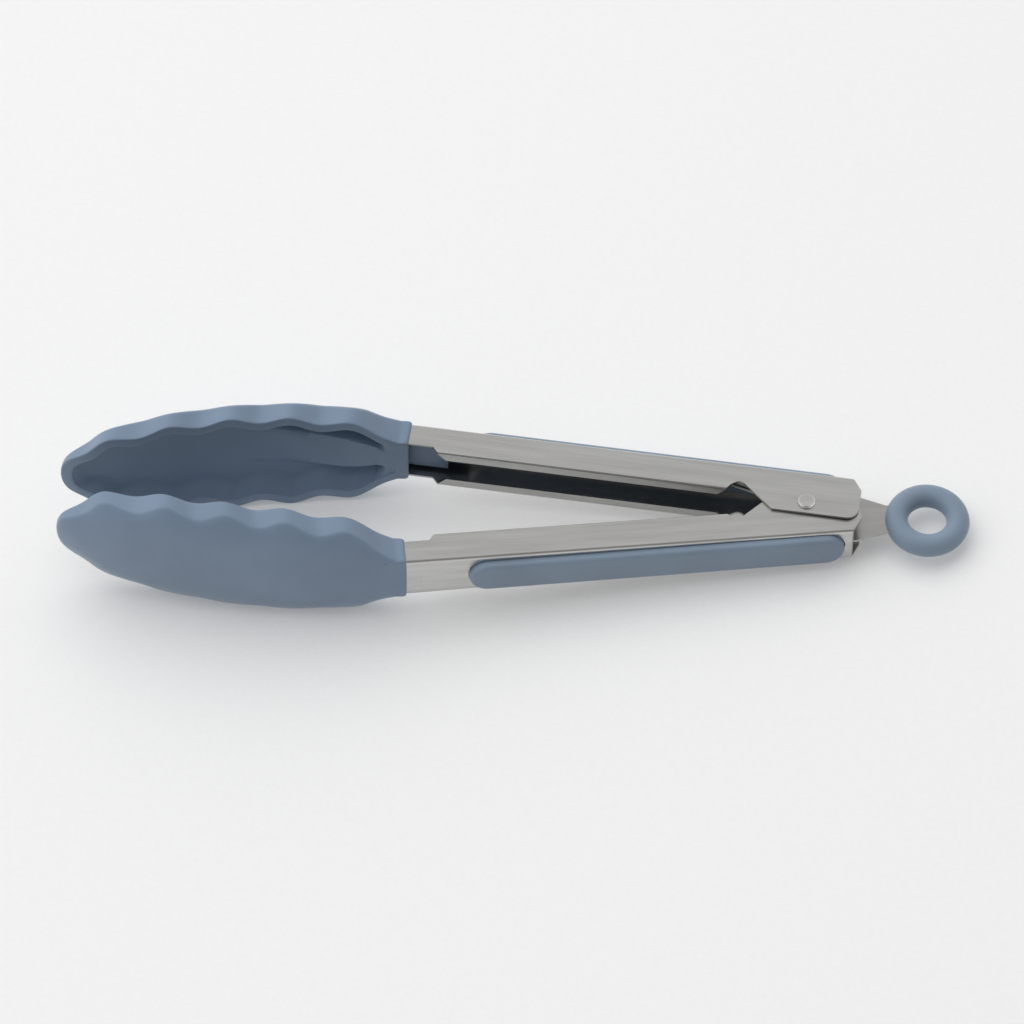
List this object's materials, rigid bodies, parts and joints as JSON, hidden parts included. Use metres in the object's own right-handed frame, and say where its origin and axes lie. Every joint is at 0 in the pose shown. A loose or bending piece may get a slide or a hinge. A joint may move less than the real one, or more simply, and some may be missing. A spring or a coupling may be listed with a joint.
{
  "type": "kitchen tongs",
  "caption": "Hinged stainless kitchen tongs with scalloped silicone scoop heads, soft grip pads and a sliding lock plate pulled by a hanging ring.",
  "frame": {"origin": "middle of the hang ring's hole", "axes": "+X from the heads towards the hang ring, +Y towards the outer arm, +Z along the pivot and the ring's hole"},
  "size_m": [0.2613, 0.0536, 0.042],
  "materials": {
    "steel": "brushed",
    "rivet_steel": "tumbled",
    "spring_steel": "drawn wire",
    "silicone": "matte silicone",
    "grip": "matte soft grip",
    "nylon": "moulded nylon"
  },
  "bodies": {
    "pivot": {"pivot_rivet": "rivet_steel", "torsion_spring": "spring_steel"},
    "outer_lever": {"outer_arm": "steel", "outer_grip_pad": "grip", "outer_head_core": "nylon", "outer_head_cover": "silicone"},
    "inner_lever": {"inner_arm": "steel", "inner_grip_pad": "grip", "inner_head_core": "nylon", "inner_head_cover": "silicone"},
    "lock": {"lock_plate": "steel", "hang_ring": "grip"}
  },
  "joints": [
    {"name": "outer_hinge", "type": "hinge", "parent": "pivot", "child": "outer_lever", "pos_m": [-0.0349, 0, 0], "axis": [0, 0, -1], "range_deg": [-2.2, 8], "stiffness_Nm_per_rad": 2, "deforming": ["torsion_spring"]},
    {"name": "inner_hinge", "type": "hinge", "parent": "pivot", "child": "inner_lever", "pos_m": [-0.0349, 0, 0], "axis": [0, 0, 1], "range_deg": [-2.2, 8], "stiffness_Nm_per_rad": 2},
    {"name": "lock_slide", "type": "slide", "parent": "pivot", "child": "lock", "axis": [-1, 0, 0], "range_m": [-0.002, 0.0071]}
  ],
  "couplings": [
    {"joint": "inner_hinge", "follows": "outer_hinge", "ratio": 1},
    {"joint": "lock_slide", "follows": "outer_hinge", "m_per_rad": 0.05}
  ]
}
